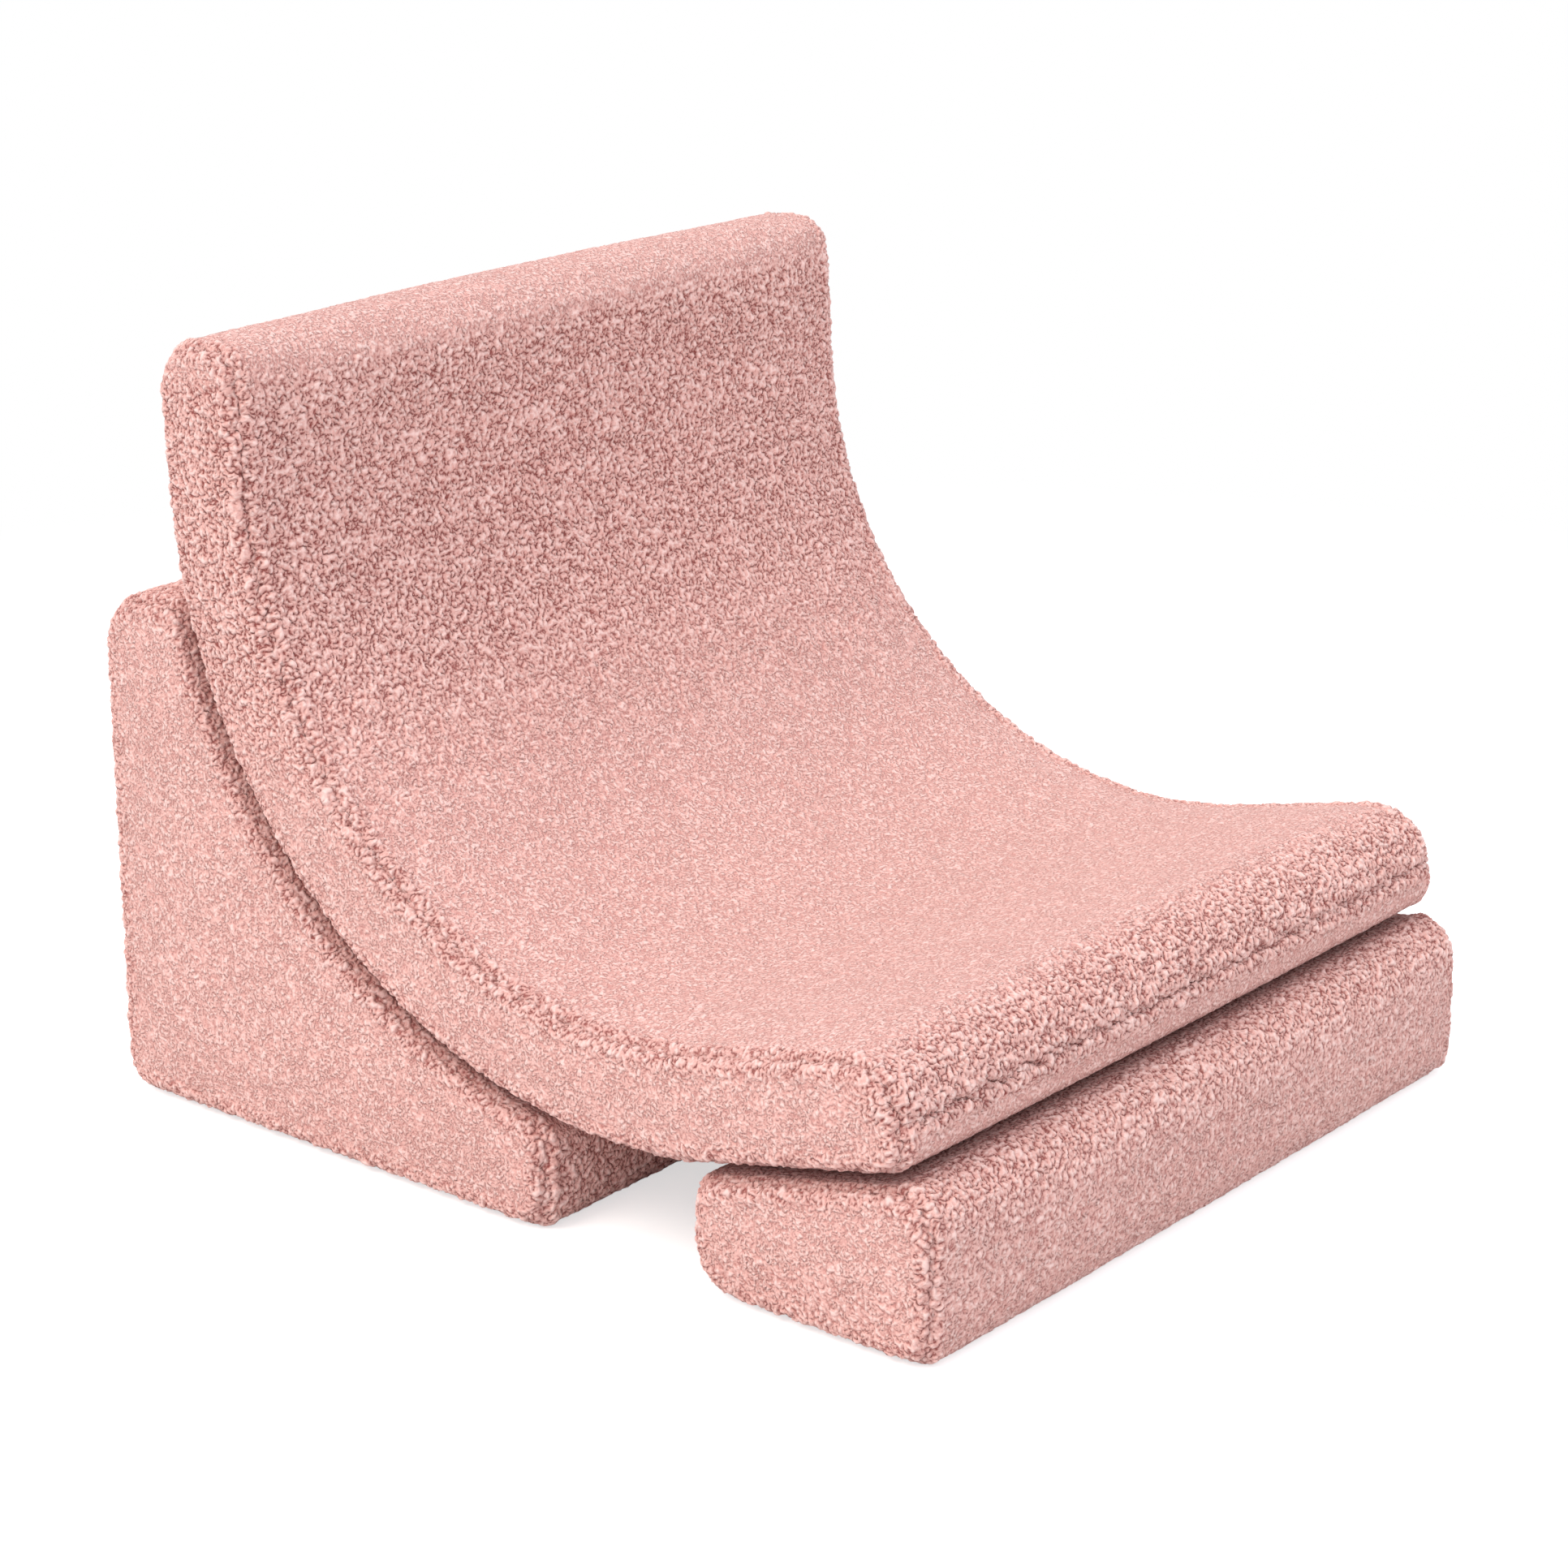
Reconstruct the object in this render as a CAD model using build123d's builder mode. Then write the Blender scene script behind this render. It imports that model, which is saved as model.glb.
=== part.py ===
"""Child's low lounge chair: a curved seat shell lying loose on a rear wedge and a front block.

Each of the three modules is a block of foam in a sewn cover of two band panels and two gussets.
A zip in the band seam that faces away from the sitter lets the cover come off. All sizes are mm.
X is the width, the sitter faces -Y and +Z is up. The origin is the bottom centre of the chair.
"""
from build123d import *
import os
from math import cos, radians, sin, sqrt, tan

os.makedirs("parts", exist_ok=True)

# Overall sizes
chair_width = 570.0
chair_depth = 660.0

# Cover, foam and the air left between modules
cover_thickness = 8.0
side_rounding = 14.0
foam_rounding = 8.0
least_corner = 2.0
module_gap = 0.3
base_trim = 0.5

# Seat shell: a slab bent about the knee, with a rising seat and a nearly upright back
slab_thickness = 76.0
underside_radius = 353.5
knee_floor_height = 69.5
knee_from_front = 238.0
seat_slope = 12.8
back_lean = 3.2
seat_run = 147.5
back_rise = 99.0
nose_lower_radius = 24.0
nose_upper_radius = 36.0
top_rear_radius = 30.0
top_front_radius = 22.0
slab_crown = 3.0
top_edge_crown = 4.0
nose_crown = 3.0

# Rear wedge
wedge_toe_from_front = 287.0
wedge_height = 337.0
wedge_top_fall = 6.0
wedge_toe_lower_radius = 17.0
wedge_toe_upper_radius = 17.0
wedge_crest_radius = 17.0
wedge_shoulder_radius = 35.0
wedge_heel_radius = 20.0
wedge_back_crown = 4.0

# Front block
block_length = 180.0
block_front_lower_radius = 17.0
block_front_upper_radius = 28.0
block_rear_upper_radius = 20.0
block_rear_lower_radius = 32.0
block_front_crown = 3.0

# Seams: where the gussets and the two band panels meet, in a channel drawn in by the thread
gusset_seam_inset = 8.0
channel_width = 3.0
channel_depth = 2.5
base_seam_height = 12.0

# Zips: two tapes with moulded teeth, end stops, and a slider with a swinging puller
shell_zip_rise = 34.0
wedge_zip_height = 46.0
block_zip_height = 42.0
zip_slot_width = 16.0
zip_chain_length = 320.0
zip_tape_end = 30.0
zip_tape_thickness = 0.8
zip_tape_gap = 0.8
tooth_pitch = 4.0
tooth_length = 1.8
tooth_root = 2.6
tooth_overlap = 1.4
tooth_height = 1.8
stop_length = 2.0
stop_gap = 0.5
slider_length = 11.0
slider_clearance = 0.3
slider_plate = 1.0
slider_wall = 1.4
slider_corner = 2.0
bail_length = 6.8
bail_width = 1.6
bail_bar = 1.3
bail_window_height = 2.1
bail_corner = 1.2
puller_thickness = 1.2
puller_arm = 1.2
puller_length = 26.0
puller_width = 6.0
puller_corner = 2.0
puller_hole_radius = 1.4
puller_hole_inset = 4.0

# Places that follow from the sizes
half_width = chair_width / 2
front_edge = -chair_depth / 2
rear_edge = chair_depth / 2
knee_y = front_edge + knee_from_front
knee_z = knee_floor_height + underside_radius
back_turn = 90.0 - back_lean
middle_turn = (back_turn - seat_slope) / 2
support_radius = underside_radius + module_gap
wedge_toe_y = front_edge + wedge_toe_from_front
block_rear_y = front_edge + block_length
foam_half_width = half_width - cover_thickness
seam_x = half_width - gusset_seam_inset
seam_drop = side_rounding - sqrt(side_rounding**2 - (side_rounding - gusset_seam_inset) ** 2)
channel_inset = seam_drop + channel_depth
beyond = 60.0

# Heights in a zip, outwards from the foam that it lies on
tape_width = (zip_slot_width - zip_tape_gap) / 2
zip_tape_length = zip_chain_length + 2 * zip_tape_end
slider_foot = zip_tape_thickness + slider_clearance
slider_ceiling = zip_tape_thickness + tooth_height + slider_clearance
slider_top = slider_ceiling + slider_plate
slider_throat = 2 * (tooth_root + slider_clearance)
slider_width = slider_throat + 2 * slider_wall
slider_start = -zip_chain_length / 2 + slider_length / 2 + stop_gap
bail_top = slider_top + bail_window_height + bail_bar
hinge_height = slider_top + bail_window_height / 2
puller_eye_width = bail_width + 2 * slider_clearance
puller_eye_reach = sqrt((bail_length / 2) ** 2 + (bail_top - hinge_height) ** 2) + slider_clearance


def knee_point(radius, turn, along=0.0):
    """Point (y, z) on a circle about the knee, at a turn from straight down, then along its tangent."""
    angle = radians(turn)
    y = knee_y + radius * sin(angle) + along * cos(angle)
    z = knee_z - radius * cos(angle) + along * sin(angle)
    return (y, z)


def seat_underside(y, drop):
    """Height of the straight part of the seat's underside at y, less a drop square to it."""
    start_y, start_z = knee_point(underside_radius + drop, -seat_slope)
    return start_z + (start_y - y) * tan(radians(seat_slope))


def round_corners(section, corners, inset):
    """Round the named corners of a section, each with its own radius less the inset."""
    for corner, radius in corners:
        nearest = section.sketch_local.vertices().sort_by_distance(Vector(*corner))[0]
        fillet(nearest, max(radius - inset, least_corner))


def shell_section(x, crown=0.0, inset=0.0):
    """Section of the seat shell at x. Crown is 0 in the middle and 1 at the sides."""
    outer = underside_radius - inset
    inner = underside_radius - slab_thickness + crown * slab_crown + inset
    run = seat_run - crown * nose_crown - inset
    rise = back_rise - crown * top_edge_crown - inset
    nose_low = knee_point(outer, -seat_slope, -run)
    nose_high = knee_point(inner, -seat_slope, -run)
    top_rear = knee_point(outer, back_turn, rise)
    top_front = knee_point(inner, back_turn, rise)
    turns = (-seat_slope, middle_turn, back_turn)
    with BuildSketch(Plane.YZ.offset(x)) as section:
        with BuildLine():
            Line(nose_low, knee_point(outer, -seat_slope))
            ThreePointArc(*[knee_point(outer, turn) for turn in turns])
            Line(knee_point(outer, back_turn), top_rear)
            Line(top_rear, top_front)
            Line(top_front, knee_point(inner, back_turn))
            ThreePointArc(*[knee_point(inner, turn) for turn in reversed(turns)])
            Line(knee_point(inner, -seat_slope), nose_high)
            Line(nose_high, nose_low)
        make_face()
        corners = [
            (nose_low, nose_lower_radius),
            (nose_high, nose_upper_radius),
            (top_rear, top_rear_radius),
            (top_front, top_front_radius),
        ]
        round_corners(section, corners, inset)
    return section.sketch


def wedge_section(x, crown=0.0, inset=0.0):
    """Section of the rear wedge at x, whose hollow face follows the underside of the shell."""
    radius = support_radius + inset
    toe_y = wedge_toe_y + inset
    back_y = rear_edge - crown * wedge_back_crown - inset
    base_z = inset - base_trim
    crest_z = wedge_height - inset
    toe_z = knee_z - sqrt(radius**2 - (toe_y - knee_y) ** 2)
    crest_y = knee_y + sqrt(radius**2 - (knee_z - crest_z) ** 2)
    half_y = (toe_y + crest_y) / 2
    half_z = knee_z - sqrt(radius**2 - (half_y - knee_y) ** 2)
    with BuildSketch(Plane.YZ.offset(x)) as section:
        with BuildLine():
            Line((toe_y, base_z), (toe_y, toe_z))
            ThreePointArc((toe_y, toe_z), (half_y, half_z), (crest_y, crest_z))
            Polyline((crest_y, crest_z), (back_y, crest_z - wedge_top_fall), (back_y, base_z), (toe_y, base_z))
        make_face()
        corners = [
            ((toe_y, base_z), wedge_toe_lower_radius),
            ((toe_y, toe_z), wedge_toe_upper_radius),
            ((crest_y, crest_z), wedge_crest_radius),
            ((back_y, crest_z - wedge_top_fall), wedge_shoulder_radius),
            ((back_y, base_z), wedge_heel_radius),
        ]
        round_corners(section, corners, inset)
    return section.sketch


def block_section(x, crown=0.0, inset=0.0):
    """Section of the front block at x, whose top follows the straight part of the underside."""
    front_y = front_edge + crown * block_front_crown + inset
    rear_y = block_rear_y - inset
    base_z = inset - base_trim
    front_low = (front_y, base_z)
    front_high = (front_y, seat_underside(front_y, module_gap + inset))
    rear_high = (rear_y, seat_underside(rear_y, module_gap + inset))
    rear_low = (rear_y, base_z)
    with BuildSketch(Plane.YZ.offset(x)) as section:
        with BuildLine():
            Polyline(front_low, front_high, rear_high, rear_low, close=True)
        make_face()
        corners = [
            (front_low, block_front_lower_radius),
            (front_high, block_front_upper_radius),
            (rear_high, block_rear_upper_radius),
            (rear_low, block_rear_lower_radius),
        ]
        round_corners(section, corners, inset)
    return section.sketch


def covered_form(section):
    """Outer form of a module: crowned across the width, rounded at both sides, flat below z = 0."""
    with BuildPart() as form:
        for x, crown in ((-half_width, 1.0), (0.0, 0.0), (half_width, 1.0)):
            add(section(x, crown))
        loft()
        sides = form.faces().sort_by(Axis.X)
        fillet(sides[0].edges() + sides[-1].edges(), side_rounding)
        split(bisect_by=Plane.XY, keep=Keep.TOP)
    return form.part


def foam_block(section):
    """Foam of a module: the section less the cover, cut straight across the width."""
    with BuildPart() as foam:
        add(section(-foam_half_width, 1.0, cover_thickness))
        extrude(amount=2 * foam_half_width, dir=(1, 0, 0))
        sides = foam.faces().sort_by(Axis.X)
        fillet(sides[0].edges() + sides[-1].edges(), foam_rounding)
    return foam


def gusset_channels(section):
    """Cutter for the two channels where the gussets are sewn to the band."""
    with BuildPart() as cutter:
        for side in (-1, 1):
            with Locations((side * seam_x, 0, knee_z)):
                Box(channel_width, 2 * chair_depth, 2 * chair_depth)
        add(section(-half_width, 1.0, channel_inset))
        extrude(amount=chair_width, dir=(1, 0, 0), mode=Mode.SUBTRACT)
    return cutter.part


def gusset(form, foam, channels, side):
    """Side panel of a cover: the form outside the gusset seam, on side -1 or 1."""
    with BuildPart() as panel:
        add(form)
        add(foam.part, mode=Mode.SUBTRACT)
        split(bisect_by=Plane.YZ.offset(side * seam_x), keep=Keep.TOP if side > 0 else Keep.BOTTOM)
        add(channels, mode=Mode.SUBTRACT)
    return panel


def band_panel(form, foam, region, channels, seams, zip_plane, upper):
    """Upper or lower band panel of a cover, with its share of the seam channels and the zip's slot."""
    with BuildPart() as panel:
        add(form)
        add(foam.part, mode=Mode.SUBTRACT)
        add(region, mode=Mode.SUBTRACT if upper else Mode.INTERSECT)
        for side in (-1, 1):
            split(bisect_by=Plane.YZ.offset(side * seam_x), keep=Keep.BOTTOM if side > 0 else Keep.TOP)
        add(channels, mode=Mode.SUBTRACT)
        for seam in seams:
            with BuildSketch(seam.offset(-channel_depth)):
                Rectangle(chair_width, channel_width)
            extrude(amount=beyond, mode=Mode.SUBTRACT)
        with BuildSketch(zip_plane):
            Rectangle(zip_tape_length, zip_slot_width)
        extrude(amount=beyond, mode=Mode.SUBTRACT)
    return panel


def zip_half(plane, side):
    """One tape with its row of teeth: side 1 is the upper half and -1 the lower."""
    count = int(zip_chain_length // tooth_pitch)
    with BuildPart() as half:
        with BuildSketch(plane):
            with Locations((0, side * (zip_tape_gap + tape_width) / 2)):
                Rectangle(zip_tape_length, tape_width)
        extrude(amount=zip_tape_thickness)
        with BuildSketch(plane.offset(zip_tape_thickness)):
            with Locations((side * tooth_pitch / 4, side * (tooth_root - tooth_overlap) / 2)):
                with GridLocations(tooth_pitch, 1, count, 1):
                    Rectangle(tooth_length, tooth_root + tooth_overlap)
        extrude(amount=tooth_height)
    return half


def zip_stops(plane):
    """Two stops crimped over both tapes, one past each end of the teeth."""
    with BuildPart() as stops:
        with BuildSketch(plane.offset(zip_tape_thickness)):
            with GridLocations(zip_chain_length + 2 * stop_gap + stop_length, 1, 2, 1):
                Rectangle(stop_length, 2 * tooth_root)
        extrude(amount=tooth_height)
    return stops


def zip_slider(plane):
    """Slider that rides over the teeth, with the bail that its puller hangs on."""
    side_plane = Plane(origin=plane.origin, x_dir=plane.x_dir, z_dir=-plane.y_dir)
    with BuildPart() as slider:
        with BuildSketch(plane.offset(slider_foot)):
            with Locations((slider_start, 0)):
                RectangleRounded(slider_length, slider_width, slider_corner)
        extrude(amount=slider_top - slider_foot)
        with BuildSketch(plane.offset(slider_foot)):
            with Locations((slider_start, 0)):
                Rectangle(2 * slider_length, slider_throat)
        extrude(amount=slider_ceiling - slider_foot, mode=Mode.SUBTRACT)
        with BuildSketch(side_plane):
            with Locations((slider_start, (slider_ceiling + bail_top) / 2)):
                RectangleRounded(bail_length, bail_top - slider_ceiling, bail_corner)
        extrude(amount=bail_width / 2, both=True)
        with BuildSketch(side_plane):
            with Locations((slider_start, hinge_height)):
                Rectangle(bail_length - 2 * bail_bar, bail_window_height)
        extrude(amount=bail_width, both=True, mode=Mode.SUBTRACT)
    return slider


def zip_puller(plane):
    """Puller whose eye goes round the bail; its near bar turns in the bail's window."""
    bar = puller_thickness
    frame_length = bar / 2 + puller_eye_reach + puller_arm
    frame_width = puller_eye_width + 2 * puller_arm
    tab_length = puller_length - puller_eye_reach
    from_left = (Align.MIN, Align.CENTER)
    with BuildPart() as puller:
        with BuildSketch(plane.offset(hinge_height - puller_thickness / 2)):
            with Locations((slider_start - bar / 2, 0)):
                Rectangle(frame_length, frame_width, align=from_left)
            with Locations((slider_start + puller_eye_reach, 0)):
                RectangleRounded(tab_length, puller_width, puller_corner, align=from_left)
            with Locations((slider_start + bar / 2, 0)):
                Rectangle(puller_eye_reach - bar / 2, puller_eye_width, align=from_left, mode=Mode.SUBTRACT)
            with Locations((slider_start + puller_length - puller_hole_inset, 0)):
                Circle(puller_hole_radius, mode=Mode.SUBTRACT)
        extrude(amount=puller_thickness)
    return puller


def shell_under_region():
    """Everything outside the middle of the slab, from the nose seam to the zip behind the back."""
    middle = underside_radius - slab_thickness / 2
    far = underside_radius + beyond
    turns = (-seat_slope, middle_turn, back_turn)
    with BuildPart() as region:
        with BuildSketch(Plane.YZ.offset(-chair_width)):
            with BuildLine():
                Line(knee_point(middle, -seat_slope, -seat_run - beyond), knee_point(middle, -seat_slope))
                ThreePointArc(*[knee_point(middle, turn) for turn in turns])
                Polyline(
                    knee_point(middle, back_turn),
                    knee_point(middle, back_turn, shell_zip_rise),
                    knee_point(far, back_turn, shell_zip_rise),
                    knee_point(far, back_turn),
                )
                ThreePointArc(*[knee_point(far, turn) for turn in reversed(turns)])
                Polyline(
                    knee_point(far, -seat_slope),
                    knee_point(far, -seat_slope, -seat_run - beyond),
                    knee_point(middle, -seat_slope, -seat_run - beyond),
                )
            make_face()
        extrude(amount=2 * chair_width)
    return region.part


def base_region(front_y, rear_y, zip_height):
    """Everything below the base seam in front and below the zip behind."""
    outline = [
        (front_y - beyond, -beyond),
        (front_y - beyond, base_seam_height),
        (front_y + beyond, base_seam_height),
        (rear_y - beyond, zip_height),
        (rear_y + beyond, zip_height),
        (rear_y + beyond, -beyond),
    ]
    with BuildPart() as region:
        with BuildSketch(Plane.YZ.offset(-chair_width)):
            with BuildLine():
                Polyline(*outline, close=True)
            make_face()
        extrude(amount=2 * chair_width)
    return region.part


def across(point, turn):
    """Plane that lies across the chair at a point (y, z), facing the outward turn about the knee."""
    angle = radians(turn)
    return Plane(origin=(0, *point), x_dir=(-1, 0, 0), z_dir=(0, sin(angle), -cos(angle)))


def write(builder, name):
    """Label a finished piece and write its STEP file."""
    builder.part.label = name
    export_step(builder.part, f"parts/{name}.step")


def write_module(name, section, region, upper_name, lower_name, seams, zip_plane):
    """Make and write one module: foam, cover panels and zip."""
    form = covered_form(section)
    channels = gusset_channels(section)
    foam = foam_block(section)
    write(foam, f"{name}_foam")
    write(band_panel(form, foam, region, channels, seams, zip_plane, True), f"{name}_{upper_name}")
    write(band_panel(form, foam, region, channels, seams, zip_plane, False), f"{name}_{lower_name}")
    write(gusset(form, foam, channels, -1), f"{name}_right_gusset")
    write(gusset(form, foam, channels, 1), f"{name}_left_gusset")
    write(zip_half(zip_plane, 1), f"{name}_zip_upper_half")
    write(zip_half(zip_plane, -1), f"{name}_zip_lower_half")
    write(zip_stops(zip_plane), f"{name}_zip_stops")
    write(zip_slider(zip_plane), f"{name}_zip_slider")
    write(zip_puller(zip_plane), f"{name}_zip_puller")


shell_zip_plane = across(knee_point(underside_radius - cover_thickness, back_turn, shell_zip_rise), back_turn)
shell_rear_seam = across(knee_point(underside_radius, back_turn, shell_zip_rise), back_turn)
nose_seam_point = knee_point(underside_radius - slab_thickness / 2, -seat_slope, -seat_run + nose_crown)
shell_nose_seam = across(nose_seam_point, -seat_slope - 90)
wedge_side_back = rear_edge - wedge_back_crown
wedge_zip_plane = across((wedge_side_back - cover_thickness, wedge_zip_height), 90)
wedge_rear_seam = across((wedge_side_back, wedge_zip_height), 90)
wedge_toe_seam = across((wedge_toe_y, base_seam_height), -90)
block_zip_plane = across((block_rear_y - cover_thickness, block_zip_height), 90)
block_rear_seam = across((block_rear_y, block_zip_height), 90)
block_front_seam = across((front_edge + block_front_crown, base_seam_height), -90)

write_module(
    "seat_shell",
    shell_section,
    shell_under_region(),
    "seat_cover",
    "under_cover",
    (shell_nose_seam, shell_rear_seam),
    shell_zip_plane,
)
write_module(
    "rear_wedge",
    wedge_section,
    base_region(wedge_toe_y, rear_edge, wedge_zip_height),
    "upper_cover",
    "base_cover",
    (wedge_toe_seam, wedge_rear_seam),
    wedge_zip_plane,
)
write_module(
    "front_block",
    block_section,
    base_region(front_edge, block_rear_y, block_zip_height),
    "upper_cover",
    "base_cover",
    (block_front_seam, block_rear_seam),
    block_zip_plane,
)
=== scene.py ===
"""Child's low lounge chair in curly fleece: the looks of its three foam modules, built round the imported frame.

The frame gives every place and size. Each module gets one sewn cover, swelled by a cloth simulation and then
raised into curls, and one foam core. The zips are the frame's own pieces with woven, moulded and metal finishes.
All lengths are metres, X is the width, the sitter faces -Y and +Z is up.
"""

import logging
import math
from dataclasses import dataclass
from enum import Enum

import bpy
import numpy as np
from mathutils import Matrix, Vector
from mathutils.bvhtree import BVHTree
from mathutils.kdtree import KDTree


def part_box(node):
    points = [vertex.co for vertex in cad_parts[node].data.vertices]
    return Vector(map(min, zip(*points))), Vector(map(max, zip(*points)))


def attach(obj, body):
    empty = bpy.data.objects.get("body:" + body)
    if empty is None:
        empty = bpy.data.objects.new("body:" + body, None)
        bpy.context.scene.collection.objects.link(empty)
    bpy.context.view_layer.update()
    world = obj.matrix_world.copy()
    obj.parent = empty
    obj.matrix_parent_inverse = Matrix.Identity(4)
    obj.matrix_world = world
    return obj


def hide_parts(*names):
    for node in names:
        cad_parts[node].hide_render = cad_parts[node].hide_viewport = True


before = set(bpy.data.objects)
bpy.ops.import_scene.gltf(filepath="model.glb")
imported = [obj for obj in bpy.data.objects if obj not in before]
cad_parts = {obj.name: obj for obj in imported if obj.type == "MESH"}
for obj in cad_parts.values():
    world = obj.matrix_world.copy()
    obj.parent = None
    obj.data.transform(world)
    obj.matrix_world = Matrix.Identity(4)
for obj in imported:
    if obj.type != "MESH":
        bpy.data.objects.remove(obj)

log = logging.getLogger("lounge_chair")

MM = 0.001

Socket = bpy.types.NodeSocket
Node = bpy.types.Node
Object = bpy.types.Object
Material = bpy.types.Material
Colour = tuple[float, float, float]
Direction = tuple[float, float, float]


class Module(Enum):
    """The three foam modules, by the names of their bodies."""

    SHELL = "seat_shell"
    WEDGE = "rear_wedge"
    BLOCK = "front_block"


class TreeKind(Enum):
    """Kinds of node tree that the pile's relief is built in."""

    SHADER = "ShaderNodeTree"
    GEOMETRY = "GeometryNodeTree"


class Mark(Enum):
    """Measures that each cover carries on its points, for its curls and its colour."""

    PLACE = "rest_place"
    LOOSE = "loose"
    # Painted shade: how much of the darker colour a point takes near the other modules and in the seam valleys.
    TUCK = "tuck"
    PRESSED = "pressed"
    SEAM = "seam_distance"


def linear(red: int, green: int, blue: int) -> Colour:
    """Turns a screen colour of 0 to 255 into the linear values that sockets take."""

    def channel(value: int) -> float:
        """One channel of the colour."""
        share = value / 255
        return share / 12.92 if share <= 0.04045 else ((share + 0.055) / 1.055) ** 2.4

    return (channel(red), channel(green), channel(blue))


def select_only(*objects: Object) -> None:
    """Leaves only these objects selected, the first of them active."""
    bpy.ops.object.select_all(action="DESELECT")
    for item in objects:
        item.select_set(True)
    bpy.context.view_layer.objects.active = objects[0]


def apply_modifiers(item: Object) -> None:
    """Applies every modifier of an object in order."""
    select_only(item)
    for modifier in list(item.modifiers):
        bpy.ops.object.modifier_apply(modifier=modifier.name)


def points_of(item: Object) -> np.ndarray:
    """Places of an object's points, one row each."""
    places = np.empty(len(item.data.vertices) * 3)
    item.data.vertices.foreach_get("co", places)
    return places.reshape(-1, 3)


def normals_of(item: Object) -> np.ndarray:
    """Outward normals of an object's points, one row each."""
    normals = np.empty(len(item.data.vertices) * 3, np.float32)
    item.data.vertex_normals.foreach_get("vector", normals)
    return normals.reshape(-1, 3).astype(float)


def move_points(item: Object, places: np.ndarray) -> None:
    """Puts an object's points at new places."""
    item.data.vertices.foreach_set("co", places.ravel())
    item.data.update()


def read_mark(item: Object, mark: Mark) -> np.ndarray:
    """Values of one of the measures on an object's points."""
    values = np.empty(len(item.data.vertices), np.float32)
    item.data.attributes[mark.value].data.foreach_get("value", values)
    return values.astype(float)


def write_mark(item: Object, mark: Mark, values: np.ndarray) -> None:
    """Stores one number for each of an object's points."""
    layer = item.data.attributes.get(mark.value)
    if layer is None:
        layer = item.data.attributes.new(mark.value, "FLOAT", "POINT")
    layer.data.foreach_set("value", values.astype(np.float32))


def ramp(values: np.ndarray, low: float, high: float) -> np.ndarray:
    """Smooth step from 0 at low to 1 at high."""
    share = np.clip((values - low) / (high - low), 0.0, 1.0)
    return share * share * (3.0 - 2.0 * share)


def bell(values: np.ndarray, centre: float, width: float) -> np.ndarray:
    """Bell of height 1 round a centre."""
    return np.exp(-(((values - centre) / width) ** 2))


class NodeBench:
    """Adds nodes to one tree and joins them, so that a pattern reads as a list of steps."""

    def __init__(self, tree: bpy.types.NodeTree) -> None:
        """Keeps the tree that the nodes go into."""
        self.tree = tree
        self.count = 0

    def add(self, kind: str, inputs: dict | None = None, **settings: object) -> Node:
        """Adds a node.

        Args:
            kind: Blender's name of the node type.
            inputs: What goes into each named or numbered input, a value or another node's output.
            settings: The node's own settings.

        Returns:
            The new node.
        """
        node = self.tree.nodes.new(kind)
        node.location = (220 * (self.count % 12), -260 * (self.count // 12))
        self.count += 1
        for name, value in settings.items():
            setattr(node, name, value)
        for name, value in (inputs or {}).items():
            self.feed(node.inputs[name], value)
        return node

    def feed(self, target: Socket, value: object) -> None:
        """Joins an output to an input, or sets the input's own value."""
        if isinstance(value, Socket):
            self.tree.links.new(value, target)
        elif isinstance(value, tuple) and len(value) == 3 and target.type == "RGBA":
            target.default_value = (*value, 1.0)
        else:
            target.default_value = value

    def math(self, operation: str, *values: object) -> Socket:
        """Result of a Math node on numbers or outputs."""
        return self.add("ShaderNodeMath", dict(enumerate(values)), operation=operation).outputs[0]

    def vector(self, operation: str, *values: object) -> Socket:
        """Result of a Vector Math node whose output is a vector."""
        return self.add("ShaderNodeVectorMath", dict(enumerate(values)), operation=operation).outputs["Vector"]

    def scaled(self, vector: Socket, factor: object) -> Socket:
        """A vector times a number."""
        inputs = {0: vector, "Scale": factor}
        return self.add("ShaderNodeVectorMath", inputs, operation="SCALE").outputs["Vector"]

    def step(self, value: Socket, low: object, high: object) -> Socket:
        """Smooth step of a value from 0 at low to 1 at high."""
        inputs = {"Value": value, "From Min": low, "From Max": high}
        return self.add("ShaderNodeMapRange", inputs, interpolation_type="SMOOTHSTEP").outputs["Result"]

    def blend(self, share: object, first: object, second: object) -> Socket:
        """Number between two numbers."""
        inputs = {"Factor": share, "A": first, "B": second}
        return self.add("ShaderNodeMix", inputs, data_type="FLOAT").outputs["Result"]

    def tint(self, share: object, first: object, second: object, how: str = "MIX") -> Socket:
        """Colour between two colours."""
        node = self.add("ShaderNodeMix", data_type="RGBA", blend_type=how)
        self.feed(node.inputs["Factor"], share)
        self.feed(node.inputs[6], first)
        self.feed(node.inputs[7], second)
        return node.outputs[2]

    def noise(self, place: Socket, scale: float, detail: float = 2.0, rough: float = 0.5) -> Node:
        """A noise texture at a place."""
        inputs = {"Vector": place, "Scale": scale, "Detail": detail, "Roughness": rough}
        return self.add("ShaderNodeTexNoise", inputs)


def new_group(
    name: str, kind: TreeKind, inputs: dict[str, str], outputs: dict[str, str]
) -> tuple[NodeBench, Node, Node]:
    """Makes an empty node group with named inputs and outputs.

    Args:
        name: The group's name.
        kind: Shader or geometry.
        inputs: Socket type of each named input.
        outputs: Socket type of each named output.

    Returns:
        The bench for the group, its input node and its output node.
    """
    tree = bpy.data.node_groups.new(name, kind.value)
    for side, sockets in (("INPUT", inputs), ("OUTPUT", outputs)):
        for label, socket_type in sockets.items():
            tree.interface.new_socket(name=label, in_out=side, socket_type=socket_type)
    bench = NodeBench(tree)
    return bench, bench.add("NodeGroupInput"), bench.add("NodeGroupOutput")


FLOAT = "NodeSocketFloat"
VECTOR = "NodeSocketVector"
GEOMETRY = "NodeSocketGeometry"


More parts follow.
